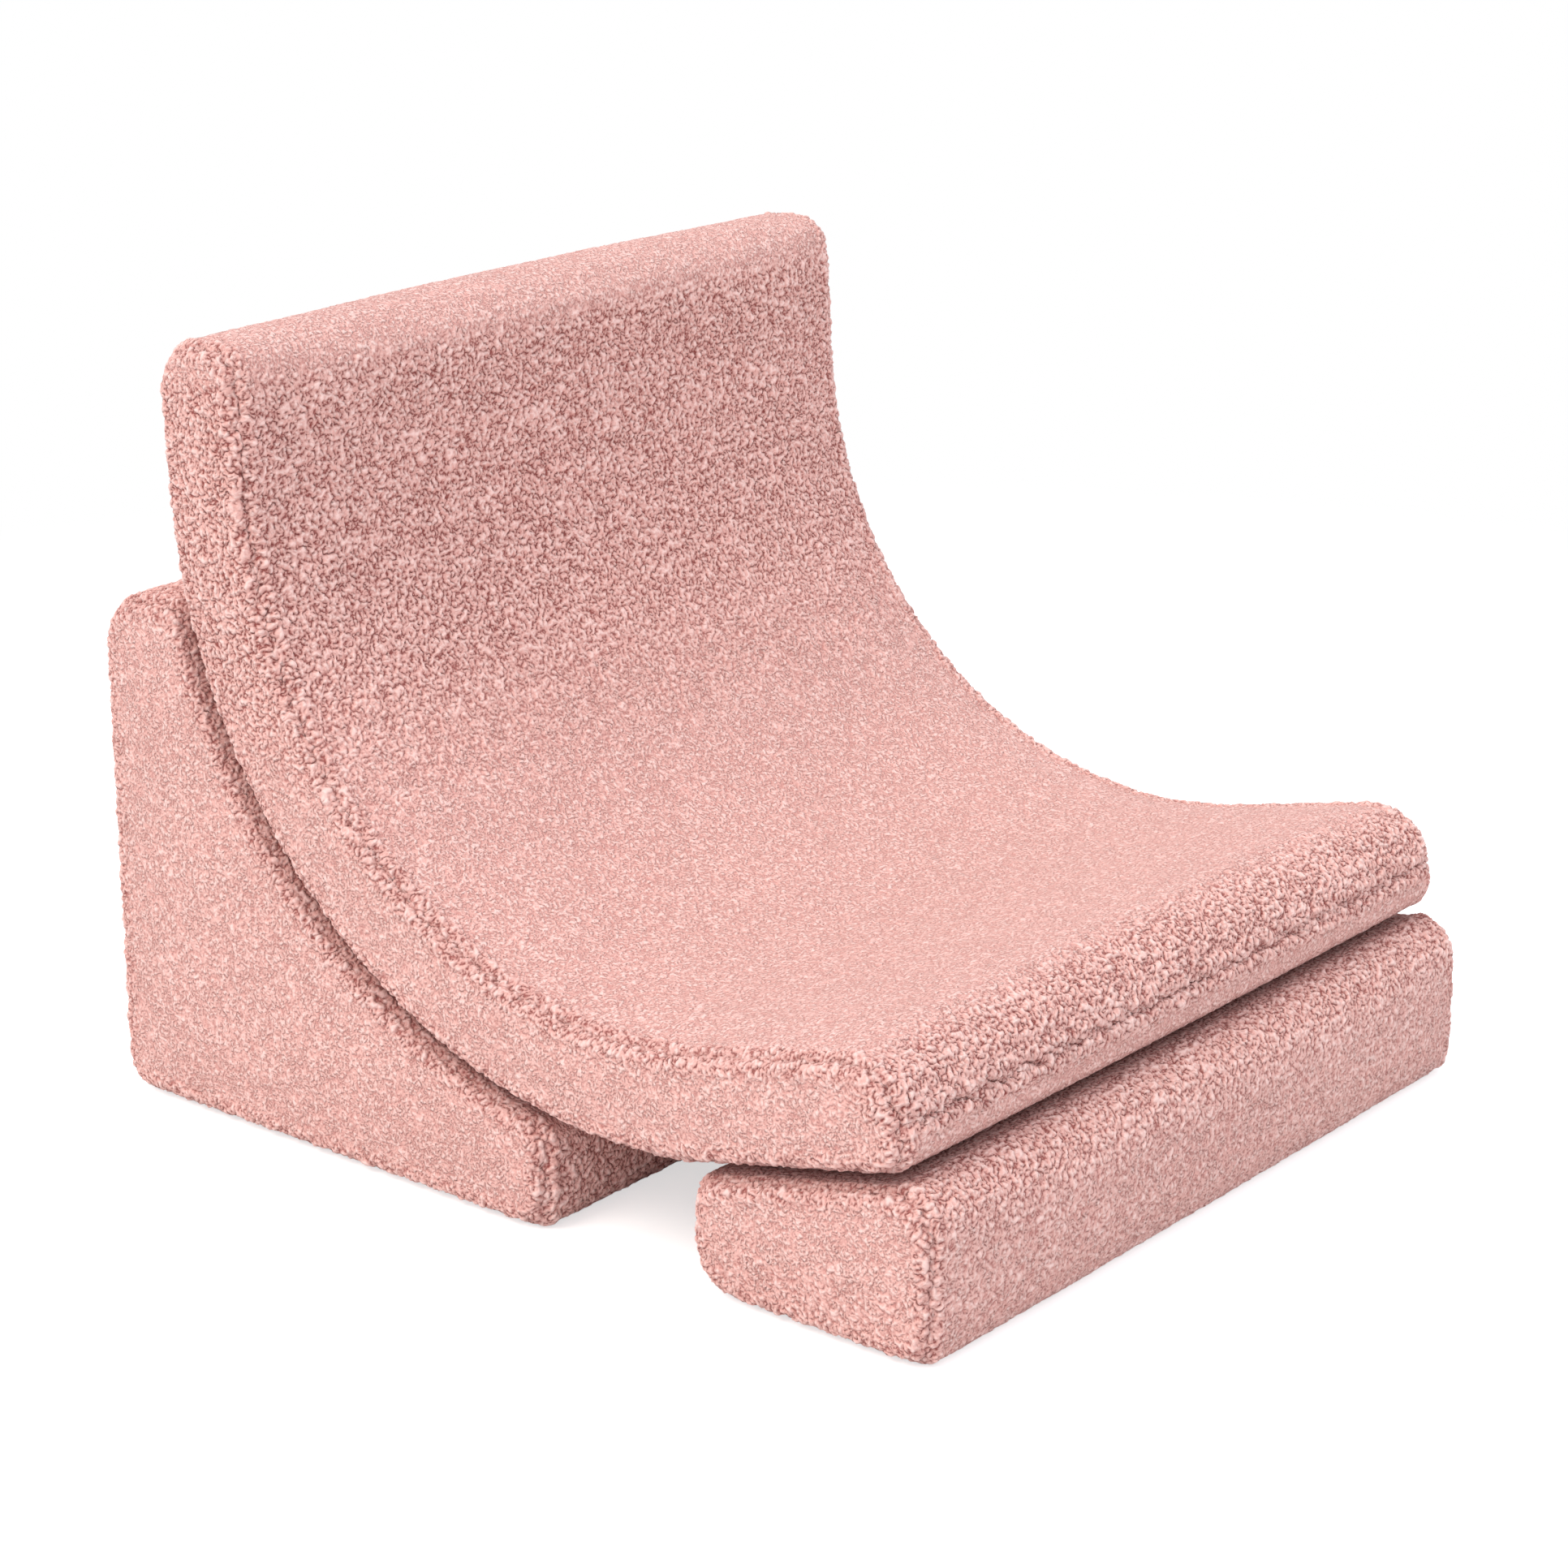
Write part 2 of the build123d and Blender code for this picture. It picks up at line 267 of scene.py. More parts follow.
@dataclass(frozen=True)
class PileRelief:
    """Relief of the curly pile: short worm-like curls with narrow, broken creases between them.

    The same pattern is built once for geometry and once for shading, and both read the place that a point
    had before the curls were raised, so that creases in the colour lie in the creases of the mesh.
    """

    flat_curl: float = 3.6 * MM
    loose_curl: float = 4.8 * MM
    fray: float = 1.0
    fullness: float = 2.6
    second_size: float = 0.88
    second_place: tuple[float, float, float] = (3.1, 7.7, 1.9)
    chance_size: float = 0.6
    patchwork: float = 0.6
    patch_low: float = 0.30
    patch_high: float = 0.42

    def curls(self, bench: NodeBench, place: Socket, size: float) -> Socket:
        """Curls of one size.

        Args:
            bench: The tree they go into.
            place: The point's place before the curls.
            size: Distance between curls.

        Returns:
            Their height, 0 in a crease and 1 on a crest. Two sets of creases cross, and each is filled
            where the other set has a crest, which breaks the creases into short gaps and dots.
        """
        crests = []
        for share, shift in ((1.0, (0.0, 0.0, 0.0)), (self.second_size, self.second_place)):
            field = bench.noise(bench.vector("ADD", place, shift), 1 / (size * share), self.fray).outputs[0]
            crest = bench.math("ABSOLUTE", bench.math("SUBTRACT", field, 0.5))
            crests.append(bench.math("MULTIPLY", crest, self.fullness))
        hollow = bench.math("SUBTRACT", 1.0, bench.math("MINIMUM", bench.math("MAXIMUM", *crests), 1.0))
        return bench.math("SUBTRACT", 1.0, bench.math("MULTIPLY", hollow, hollow))

    def build(self, kind: TreeKind) -> bpy.types.NodeTree:
        """Makes the node group with the relief.

        Args:
            kind: Shader or geometry.

        Returns:
            The group. Height runs from 0 in a crease to 1 on a crest, Chance differs from curl to curl.
            Flat and loose curls meet in patches and aren't mixed, because a mix of two patterns looks dull.
        """
        inputs = {"Place": VECTOR, "Loose": FLOAT}
        outputs = {"Height": FLOAT, "Chance": FLOAT}
        bench, start, end = new_group(f"Pile relief {kind.name.lower()}", kind, inputs, outputs)
        place = start.outputs["Place"]
        flat = self.curls(bench, place, self.flat_curl)
        loose = self.curls(bench, place, self.loose_curl)
        chance = bench.noise(place, self.chance_size / self.loose_curl, 0.0).outputs[0]
        sway = bench.math("MULTIPLY", bench.math("SUBTRACT", chance, 0.5), self.patchwork)
        share = bench.step(bench.math("ADD", start.outputs["Loose"], sway), self.patch_low, self.patch_high)
        bench.feed(end.inputs["Height"], bench.blend(share, flat, loose))
        bench.feed(end.inputs["Chance"], chance)
        return bench.tree


@dataclass(frozen=True)
class CurlRaiser:
    """Raises the curls of a cover out of its smooth mesh, as real relief."""

    flat_height: float = 0.9 * MM
    loose_height: float = 3.7 * MM

    def build(self, relief: bpy.types.NodeTree) -> bpy.types.NodeTree:
        """Makes the geometry nodes that move each point along its normal.

        Args:
            relief: The geometry group of the pile's relief.

        Returns:
            The node tree for a Nodes modifier.
        """
        ports = {"Geometry": GEOMETRY}
        bench, start, end = new_group("Raise curls", TreeKind.GEOMETRY, ports, ports)
        place = bench.add("GeometryNodeInputPosition").outputs[0]
        kept = bench.add("GeometryNodeStoreNamedAttribute", data_type="FLOAT_VECTOR", domain="POINT")
        bench.feed(kept.inputs["Geometry"], start.outputs["Geometry"])
        bench.feed(kept.inputs["Name"], Mark.PLACE.value)
        bench.feed(kept.inputs["Value"], place)
        curls = bench.add("GeometryNodeGroup", node_tree=relief)
        bench.feed(curls.inputs["Place"], place)
        loose = self.mark(bench, Mark.LOOSE)
        bench.feed(curls.inputs["Loose"], loose)
        rise = bench.blend(loose, self.flat_height, self.loose_height)
        rise = bench.math("MULTIPLY", rise, bench.math("SUBTRACT", 1.0, self.mark(bench, Mark.PRESSED)))
        rise = bench.math("MULTIPLY", rise, curls.outputs["Height"])
        offset = bench.scaled(bench.add("GeometryNodeInputNormal").outputs[0], rise)
        moved = bench.add("GeometryNodeSetPosition", {"Geometry": kept.outputs[0], "Offset": offset})
        bench.feed(end.inputs["Geometry"], moved.outputs[0])
        return bench.tree

    def mark(self, bench: NodeBench, mark: Mark) -> Socket:
        """One of the cover's measures, read from its points."""
        node = bench.add("GeometryNodeInputNamedAttribute", {"Name": mark.value}, data_type="FLOAT")
        return node.outputs["Attribute"]


@dataclass(frozen=True)
class FleeceFinish:
    """Dusty pink curly fleece: painted highlight on crests, warm red painted shade in creases, soft sheen of loose
    fibre ends.
    """

    # Painted highlight: the pale colour that the curl tops take.
    crest: Colour = linear(254, 214, 206)
    body: Colour = linear(238, 182, 172)
    # Painted shade in the creases, paler where the curls lie flat and redder and darker where they stand loose.
    flat_crease_shade: Colour = linear(216, 152, 144)
    loose_crease_shade: Colour = linear(154, 78, 72)
    # Painted shade near the other modules and in the seam valleys.
    painted_shade_colour: Colour = linear(120, 58, 54)
    crease_low: float = 0.04
    crease_high: float = 0.5
    crest_low: float = 0.45
    crest_high: float = 0.95
    loose_low: float = 0.15
    loose_high: float = 0.65
    patch_scale: float = 22.0
    shade_spread: float = 0.10
    # Share of the painted shade colour that a point takes at full painted shade.
    tuck_strength: float = 0.6
    roughness: float = 0.95
    specular: float = 0.15
    sheen: float = 0.3
    sheen_roughness: float = 0.5
    sheen_tint: Colour = linear(255, 226, 220)
    flat_bump: float = 0.6
    loose_bump: float = 1.0
    curl_bump_height: float = 2.2 * MM
    strand: float = 0.9 * MM
    strand_depth: float = 0.5
    strand_bump: float = 0.6
    strand_bump_height: float = 0.5 * MM

    def build(self, relief: bpy.types.NodeTree) -> Material:
        """Makes the fleece material.

        Args:
            relief: The shader group of the pile's relief.

        Returns:
            The material, which reads the measures stored on a cover.
        """
        material = bpy.data.materials.new("Pink curly fleece")
        material.use_nodes = True
        material.node_tree.nodes.clear()
        bench = NodeBench(material.node_tree)
        place = bench.add("ShaderNodeAttribute", attribute_name=Mark.PLACE.value).outputs["Vector"]
        tuck = bench.add("ShaderNodeAttribute", attribute_name=Mark.TUCK.value).outputs["Fac"]
        loose = bench.add("ShaderNodeAttribute", attribute_name=Mark.LOOSE.value).outputs["Fac"]
        curls = bench.add("ShaderNodeGroup", node_tree=relief)
        bench.feed(curls.inputs["Place"], place)
        bench.feed(curls.inputs["Loose"], loose)
        height, chance = curls.outputs["Height"], curls.outputs["Chance"]
        strands = bench.noise(place, 1 / self.strand, 1.0, 0.6).outputs[0]
        depth = bench.math("MULTIPLY", bench.math("SUBTRACT", strands, 0.5), self.strand_depth)
        depth = bench.math("ADD", height, depth)
        # Painted highlight: paler towards the curl tops.
        fleece = bench.tint(bench.step(depth, self.crest_low, self.crest_high), self.body, self.crest)
        # Painted shade: the creases darken, redder where the curls stand loose.
        crease = bench.step(loose, self.loose_low, self.loose_high)
        crease = bench.tint(crease, self.flat_crease_shade, self.loose_crease_shade)
        fleece = bench.tint(bench.step(depth, self.crease_low, self.crease_high), crease, fleece)
        patch = bench.math("SUBTRACT", bench.noise(place, self.patch_scale, 3.0).outputs[0], 0.5)
        shade = bench.math("MULTIPLY", bench.math("SUBTRACT", chance, 0.5), self.shade_spread)
        shade = bench.math("ADD", bench.math("ADD", shade, 1.0), bench.math("MULTIPLY", patch, self.shade_spread))
        fleece = bench.add("ShaderNodeHueSaturation", {"Color": fleece, "Value": shade}).outputs[0]
        # Painted shade near the other modules and in the seam valleys.
        fleece = bench.tint(bench.math("MULTIPLY", tuck, self.tuck_strength), fleece, self.painted_shade_colour)
        strand = bench.add(
            "ShaderNodeBump", {"Strength": self.strand_bump, "Distance": self.strand_bump_height, "Height": strands}
        )
        curl = bench.add(
            "ShaderNodeBump",
            {
                "Strength": 1.0,
                "Distance": self.curl_bump_height,
                "Height": bench.math("MULTIPLY", height, bench.blend(loose, self.flat_bump, self.loose_bump)),
                "Normal": strand.outputs[0],
            },
        )
        shader = bench.add(
            "ShaderNodeBsdfPrincipled",
            {
                "Base Color": fleece,
                "Roughness": self.roughness,
                "Specular IOR Level": self.specular,
                "Sheen Weight": self.sheen,
                "Sheen Roughness": self.sheen_roughness,
                "Sheen Tint": self.sheen_tint,
                "Normal": curl.outputs[0],
            },
        )
        output = bench.add("ShaderNodeOutputMaterial")
        bench.feed(output.inputs["Surface"], shader.outputs[0])
        return material


@dataclass(frozen=True)
class FoamFinish:
    """Cream upholstery foam with open cells."""

    cream: Colour = linear(236, 226, 202)
    cell: Colour = linear(202, 188, 156)
    cell_size: float = 1.4 * MM
    pit_low: float = 0.2
    pit_high: float = 0.6

    def build(self) -> Material:
        """Makes the foam material on object coordinates."""
        material = bpy.data.materials.new("Cream foam")
        material.use_nodes = True
        material.node_tree.nodes.clear()
        bench = NodeBench(material.node_tree)
        place = bench.add("ShaderNodeTexCoord").outputs["Object"]
        cells = bench.add("ShaderNodeTexVoronoi", {"Vector": place, "Scale": 1 / self.cell_size}, feature="F1")
        pit = bench.step(cells.outputs["Distance"], self.pit_low, self.pit_high)
        colour = bench.tint(pit, self.cell, self.cream)
        bump = bench.add("ShaderNodeBump", {"Strength": 0.4, "Distance": 0.3 * MM, "Height": pit})
        shader = bench.add(
            "ShaderNodeBsdfPrincipled",
            {"Base Color": colour, "Roughness": 0.9, "Specular IOR Level": 0.2, "Normal": bump.outputs[0]},
        )
        output = bench.add("ShaderNodeOutputMaterial")
        bench.feed(output.inputs["Surface"], shader.outputs[0])
        return material


@dataclass(frozen=True)
class ZipFinish:
    """Pink zip: herringbone woven tape, moulded nylon teeth and a brushed steel slider and puller."""

    tape: Colour = linear(226, 164, 156)
    tape_gap: Colour = linear(196, 128, 121)
    tooth: Colour = linear(226, 168, 160)
    steel: Colour = linear(196, 192, 190)
    worn_steel: Colour = linear(168, 163, 160)
    brush_stretch: tuple[float, float, float] = (400.0, 6000.0, 6000.0)
    thread: float = 0.5 * MM
    tape_thickness: float = 0.8 * MM

    def woven(self, name: str, outward: Vector, tape_top: float) -> Material:
        """Makes the material of a tape with its teeth.

        Args:
            name: The material's name.
            outward: Direction that the zip faces.
            tape_top: Height of the tape's top along that direction.

        Returns:
            The material: woven up to the tape's top and smooth nylon above it.
        """
        material = bpy.data.materials.new(name)
        material.use_nodes = True
        material.node_tree.nodes.clear()
        bench = NodeBench(material.node_tree)
        place = bench.add("ShaderNodeTexCoord").outputs["Object"]
        along = bench.add("ShaderNodeVectorMath", {0: place, 1: (1.0, 0.0, 0.0)}, operation="DOT_PRODUCT")
        side = Vector((1.0, 0.0, 0.0)).cross(outward)
        across = bench.add("ShaderNodeVectorMath", {0: place, 1: tuple(side)}, operation="DOT_PRODUCT")
        up = bench.add("ShaderNodeVectorMath", {0: place, 1: tuple(outward)}, operation="DOT_PRODUCT")
        turn = math.pi / self.thread
        warp = bench.math("SINE", bench.math("MULTIPLY", across.outputs["Value"], turn))
        fold = bench.math("ABSOLUTE", warp)
        weft = bench.math("SINE", bench.math("ADD", bench.math("MULTIPLY", along.outputs["Value"], turn), fold))
        weave = bench.math("MULTIPLY", bench.math("ADD", bench.math("MULTIPLY", warp, weft), 1.0), 0.5)
        cloth = bench.tint(bench.step(weave, 0.15, 0.8), self.tape_gap, self.tape)
        is_tooth = bench.math("GREATER_THAN", up.outputs["Value"], tape_top + 0.05 * MM)
        colour = bench.tint(is_tooth, cloth, self.tooth)
        bump = bench.add("ShaderNodeBump", {"Distance": 0.15 * MM, "Height": weave})
        bench.feed(bump.inputs["Strength"], bench.math("SUBTRACT", 1.0, is_tooth))
        shader = bench.add(
            "ShaderNodeBsdfPrincipled",
            {"Base Color": colour, "Roughness": bench.blend(is_tooth, 0.85, 0.38), "Normal": bump.outputs[0]},
        )
        output = bench.add("ShaderNodeOutputMaterial")
        bench.feed(output.inputs["Surface"], shader.outputs[0])
        return material

    def metal(self) -> Material:
        """Makes the brushed steel of sliders, pullers and stops."""
        material = bpy.data.materials.new("Brushed zip steel")
        material.use_nodes = True
        material.node_tree.nodes.clear()
        bench = NodeBench(material.node_tree)
        place = bench.add("ShaderNodeTexCoord").outputs["Object"]
        stretched = bench.add("ShaderNodeMapping", {"Vector": place, "Scale": self.brush_stretch}).outputs[0]
        brush = bench.noise(stretched, 1.0, 2.0).outputs[0]
        wear = bench.noise(place, 260.0, 3.0).outputs[0]
        colour = bench.tint(wear, self.steel, self.worn_steel)
        bump = bench.add("ShaderNodeBump", {"Strength": 0.2, "Distance": 0.05 * MM, "Height": brush})
        shader = bench.add(
            "ShaderNodeBsdfPrincipled",
            {
                "Base Color": colour,
                "Metallic": 1.0,
                "Roughness": bench.blend(wear, 0.24, 0.42),
                "Normal": bump.outputs[0],
            },
        )
        output = bench.add("ShaderNodeOutputMaterial")
        bench.feed(output.inputs["Surface"], shader.outputs[0])
        return material


@dataclass
class Finishes:
    """The finishes of the whole chair, made once."""

    fleece: Material
    curls: bpy.types.NodeTree
    foam: Material
    zip_finish: ZipFinish
    metal: Material

    @classmethod
    def make(cls) -> "Finishes":
        """Builds every shared group and material."""
        relief = PileRelief()
        return cls(
            fleece=FleeceFinish().build(relief.build(TreeKind.SHADER)),
            curls=CurlRaiser().build(relief.build(TreeKind.GEOMETRY)),
            foam=FoamFinish().build(),
            zip_finish=ZipFinish(),
            metal=ZipFinish().metal(),
        )


@dataclass
class FoamModule:
    """One foam module: a sewn cover round a foam core, with a zip. The three modules differ in their panels."""

    module: Module
    band_nodes: tuple[str, str]
    gusset_seam: float = 0.277
    voxel: float = 5.6 * MM
    inset: float = 2.0 * MM
    swell_cap: float = 3.0 * MM
    pressure: float = 4.0
    cloth_frames: int = 20
    cloth_stiffness: float = 15.0
    valley_depth: float = 2.0 * MM
    valley_width: float = 1.9 * MM
    row_height: float = 1.1 * MM
    row_centre: float = 6.0 * MM
    row_width: float = 3.2 * MM
    seam_curls: float = 0.55
    seam_curls_centre: float = 4.0 * MM
    seam_curls_width: float = 7.0 * MM
    # Painted shade in the seam valleys.
    tuck_shade: float = 0.5
    foam_voxel: float = 8.0 * MM
    foam_rounds: int = 4
    foam_inset: float = 1.5 * MM
    even_rounds: int = 4
    soft_rounds: int = 12
    contact_reach: float = 14.0 * MM
    # Painted shade near the other modules.
    contact_shade: float = 0.6
    fine_looseness: float = 0.3
    fine_seam: float = 10.0 * MM
    zip_reach: float = 14.0 * MM
    slot_edge: float = 1.0 * MM
    tape_bed: float = 0.4 * MM

    def node(self, piece: str) -> str:
        """Full name of one of this module's nodes."""
        return f"{self.module.value}_{piece}"

    def cover_nodes(self) -> list[str]:
        """Names of the four sewn panels that the cover stands for."""
        return [self.node(piece) for piece in (*self.band_nodes, "right_gusset", "left_gusset")]

    def joined_copy(self, nodes: list[str], name: str) -> Object:
        """Copies nodes of the frame and joins the copies into one closed form.

        Args:
            nodes: Names of the nodes.
            name: Name of the new object.

        Returns:
            The joined copy, with its doubles merged.
        """
        copies = []
        for node in nodes:
            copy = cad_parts[node].copy()
            copy.data = copy.data.copy()
            copy.parent = None
            for key in list(copy.keys()):
                del copy[key]
            bpy.context.scene.collection.objects.link(copy)
            copies.append(copy)
        select_only(*copies)
        bpy.ops.object.join()
        item = bpy.context.view_layer.objects.active
        item.name = name
        item.data.name = name
        item.data.materials.clear()
        bpy.ops.object.mode_set(mode="EDIT")
        bpy.ops.mesh.select_all(action="SELECT")
        bpy.ops.mesh.remove_doubles(threshold=1e-6)
        bpy.ops.object.mode_set(mode="OBJECT")
        return item

    def remeshed(self, item: Object, voxel: float, rounds: int) -> None:
        """Gives an object an even mesh and smooths the marks of the remesh.

        Args:
            item: The object.
            voxel: Size of the new faces.
            rounds: Number of smoothing rounds.
        """
        select_only(item)
        item.data.remesh_voxel_size = voxel
        item.data.use_remesh_fix_poles = False
        bpy.ops.object.voxel_remesh()
        smooth = item.modifiers.new("Even out", "SMOOTH")
        smooth.factor = 0.5
        smooth.iterations = rounds
        apply_modifiers(item)

    def soften(self, item: Object) -> None:
        """Rounds the cover's edges and corners as padding does, all over but round the zip's slot."""
        start = points_of(item)
        smooth = item.modifiers.new("Soften", "SMOOTH")
        smooth.factor = 0.5
        smooth.iterations = self.soft_rounds
        apply_modifiers(item)
        share = self.away_from_zip(start, 8.0 * MM, 26.0 * MM)
        move_points(item, start + (points_of(item) - start) * share[:, None])

    def away_from_zip(self, places: np.ndarray, near: float, far: float) -> np.ndarray:
        """Smooth step from 0 near the zip's tapes to 1 far from them."""
        boxes = [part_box(self.node(piece)) for piece in ("zip_upper_half", "zip_lower_half")]
        low = np.min([np.array(box[0]) for box in boxes], axis=0)
        high = np.max([np.array(box[1]) for box in boxes], axis=0)
        outside = np.maximum(np.maximum(low - places, places - high), 0.0)
        return ramp(np.linalg.norm(outside, axis=1), near, far)

    def build_foam(self, finish: Material) -> Object:
        """Makes the foam core, a little smaller than the frame's so that the zip's tape lies free of it."""
        item = self.joined_copy([self.node("foam")], self.node("foam_core"))
        self.remeshed(item, self.foam_voxel, self.foam_rounds)
        move_points(item, points_of(item) - normals_of(item) * self.foam_inset)
        item.data.materials.append(finish)
        select_only(item)
        bpy.ops.object.shade_smooth()
        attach(item, self.module.value)
        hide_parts(self.node("foam"))
        log.info("%s: %d faces of cut foam", item.name, len(item.data.polygons))
        return item

    def seam_points(self, form: Object) -> list[Vector]:
        """Points along this module's seams: both gusset seams, and any that a module adds."""
        points = []
        places = points_of(form)
        for side in (-1, 1):
            near = np.abs(places[:, 0] * side - self.gusset_seam) < self.voxel * 0.75
            for place in places[near]:
                points.append(Vector((side * self.gusset_seam, place[1], place[2])))
        return points

    def looseness(self, places: np.ndarray, normals: np.ndarray) -> np.ndarray:
        """How loose the curls stand at each point, from 0 where the pile is brushed flat to 1."""
        return np.full(len(places), 0.5)

    def measure(self, item: Object, neighbours: list[BVHTree]) -> None:
        """Stores on each point its seam distance, how loose its curls are, whether it is pressed and how much
        painted shade it takes near the other modules.

        Args:
            item: The cover at its remeshed size.
            neighbours: The other modules' surfaces.
        """
        places, normals = points_of(item), normals_of(item)
        seams = self.seam_points(item)
        tree = KDTree(len(seams))
        for index, point in enumerate(seams):
            tree.insert(point, index)
        tree.balance()
        distance = np.array([tree.find(place)[2] for place in places])
        outside = np.where(np.abs(places[:, 0]) > self.gusset_seam, 1.0, -1.0)
        write_mark(item, Mark.SEAM, distance * outside)
        touch = np.full(len(places), self.contact_reach)
        for other in neighbours:
            for index, place in enumerate(places):
                hit = other.find_nearest(place, self.contact_reach)
                if hit[3] is not None:
                    touch[index] = min(touch[index], hit[3])
        pressed = 1.0 - ramp(touch, 1.2 * MM + self.inset, 4.5 * MM + self.inset)
        floor = 1.0 - ramp(places[:, 2], 0.8 * MM, 4.0 * MM)
        write_mark(item, Mark.PRESSED, np.maximum(pressed, floor))
        loose = self.looseness(places, normals) * self.away_from_zip(places, 0.0, self.zip_reach)
        write_mark(item, Mark.LOOSE, loose)
        # Painted shade, strongest where another module is close.
        shade = self.contact_shade * (1.0 - ramp(touch, 2.0 * MM + self.inset, self.contact_reach))
        write_mark(item, Mark.TUCK, shade)

    def settle(self, places: np.ndarray) -> None:
        """Lets the lowest points down onto the floor. The shell, which touches no floor, has none."""
        places[:, 2] -= self.inset * (1.0 - ramp(places[:, 2], 2 * self.inset, 8 * self.inset))
        np.maximum(places[:, 2], 0.1 * MM, out=places[:, 2])

    def swell(self, item: Object) -> None:
        """Swells the cover's panels between their seams with a short cloth simulation, and caps the swelling."""
        start = points_of(item)
        seam = np.abs(read_mark(item, Mark.SEAM))
        held = np.maximum(1.0 - ramp(seam, 2.0 * MM, 9.0 * MM), read_mark(item, Mark.PRESSED))
        group = item.vertex_groups.new(name="held")
        for level in np.unique(np.round(held, 2)):
            if level > 0:
                chosen = np.flatnonzero(np.round(held, 2) == level)
                group.add(chosen.tolist(), float(level), "REPLACE")
        cloth = item.modifiers.new("Swell", "CLOTH")
        cloth.settings.quality = 3
        cloth.settings.mass = 0.3
        cloth.settings.use_pressure = True
        cloth.settings.uniform_pressure_force = self.pressure
        cloth.settings.tension_stiffness = self.cloth_stiffness
        cloth.settings.compression_stiffness = self.cloth_stiffness
        cloth.settings.effector_weights.gravity = 0
        cloth.settings.vertex_group_mass = group.name
        cloth.collision_settings.use_collision = False
        cloth.point_cache.frame_start = 1
        cloth.point_cache.frame_end = self.cloth_frames
        scene = bpy.context.scene
        for step in range(1, self.cloth_frames + 1):
            scene.frame_set(step)
        apply_modifiers(item)
        scene.frame_set(1)
        moved = points_of(item) - start
        length = np.linalg.norm(moved, axis=1)
        log.info("%s: swelled %.1f mm at most", item.name, length.max() / MM)
        share = np.minimum(1.0, self.swell_cap / np.maximum(length, 1e-9))
        move_points(item, start + moved * share[:, None])
        item.vertex_groups.clear()

    def seen_faces(self, item: Object) -> np.ndarray:
        """Tells which of a cover's faces can be seen and have curls that stand up, or lie round the zip."""
        free = (read_mark(item, Mark.PRESSED) < 0.6) & (normals_of(item)[:, 2] > -0.5)
        by_seam = np.abs(read_mark(item, Mark.SEAM)) < self.fine_seam
        curly = by_seam | (read_mark(item, Mark.LOOSE) > self.fine_looseness)
        by_zip = self.away_from_zip(points_of(item), 0.0, self.zip_reach) < 0.5
        corners = np.empty(len(item.data.loops), np.int32)
        item.data.loops.foreach_get("vertex_index", corners)
        return (free & curly | by_zip)[corners].reshape(-1, 4).any(axis=1)

    def refine(self, item: Object) -> None:
        """Subdivides the cover, once all over and once more wherever curls are seen to stand up."""
        rounded = item.modifiers.new("Round", "SUBSURF")
        rounded.levels = rounded.render_levels = 1
        apply_modifiers(item)
        seen = self.seen_faces(item)
        select_only(item)
        bpy.ops.object.mode_set(mode="EDIT")
        bpy.ops.mesh.select_mode(type="FACE")
        bpy.ops.mesh.select_all(action="DESELECT")
        bpy.ops.object.mode_set(mode="OBJECT")
        item.data.polygons.foreach_set("select", seen)
        bpy.ops.object.mode_set(mode="EDIT")
        bpy.ops.mesh.subdivide(number_cuts=1, smoothness=0.0)
        bpy.ops.object.mode_set(mode="OBJECT")

    def seam_strength(self, places: np.ndarray) -> np.ndarray:
        """How strongly the seams are drawn in at each point."""
        return np.ones(len(places))

    def draw_in_seams(self, item: Object) -> None:
        """Sinks a patchy, wandering valley along each seam, with a puffed row of curls on both sides, and paints
        shade into the valley.
        """
        places, normals = points_of(item), normals_of(item)
        seam = read_mark(item, Mark.SEAM)
        along = places @ np.array((0.61, 1.0, 0.87))
        long_wander = 1.0 * MM * np.sin(along * 310)
        short_wander = 0.8 * MM * np.sin(along * 830 + 2.0 * np.sin(along * 170))
        seam = seam + long_wander + short_wander
        patchy = 0.72 + 0.28 * np.sin(along * 470 + 1.5 * np.sin(along * 90))
        free = 1.0 - read_mark(item, Mark.PRESSED)
        valley = bell(seam, 0.0, self.valley_width) * patchy
        rows = bell(np.abs(seam), self.row_centre, self.row_width)
        strength = self.seam_strength(places)
        lift = (self.row_height * rows - self.valley_depth * valley) * free * strength
        move_points(item, places + normals * lift[:, None])
        # Painted shade in the seam valleys.
        write_mark(item, Mark.TUCK, np.maximum(read_mark(item, Mark.TUCK), valley * free * self.tuck_shade))
        beside = bell(np.abs(seam), self.seam_curls_centre, self.seam_curls_width)
        loose = np.maximum(read_mark(item, Mark.LOOSE), self.seam_curls * strength * beside)
        write_mark(item, Mark.LOOSE, np.clip(loose, 0.0, 1.0))

    def raise_curls(self, item: Object, curls: bpy.types.NodeTree) -> None:
        """Raises the curls as real relief."""
        modifier = item.modifiers.new("Curls", "NODES")
        modifier.node_group = curls
        apply_modifiers(item)

    def open_slot(self, item: Object) -> None:
        """Presses the fabric over the zip down under the tapes, so that they lie free in a clean slot."""
        outward = np.array(self.zip_outward())
        halves = [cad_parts[self.node(piece)] for piece in ("zip_upper_half", "zip_lower_half")]
        tapes = np.vstack([points_of(half) for half in halves])
        places = points_of(item)
        reach = np.full(len(places), -1.0)
        for axis in (np.array((1.0, 0.0, 0.0)), np.cross((1.0, 0.0, 0.0), outward)):
            low, high = (tapes @ axis).min(), (tapes @ axis).max()
            reach = np.maximum(reach, np.abs(places @ axis - (low + high) / 2) - (high - low) / 2)
        share = 1.0 - ramp(reach, -self.slot_edge, self.slot_edge / 2)
        above = np.maximum(places @ outward - (tapes @ outward).min() + self.tape_bed, 0.0)
        move_points(item, places - np.outer(share * above, outward))

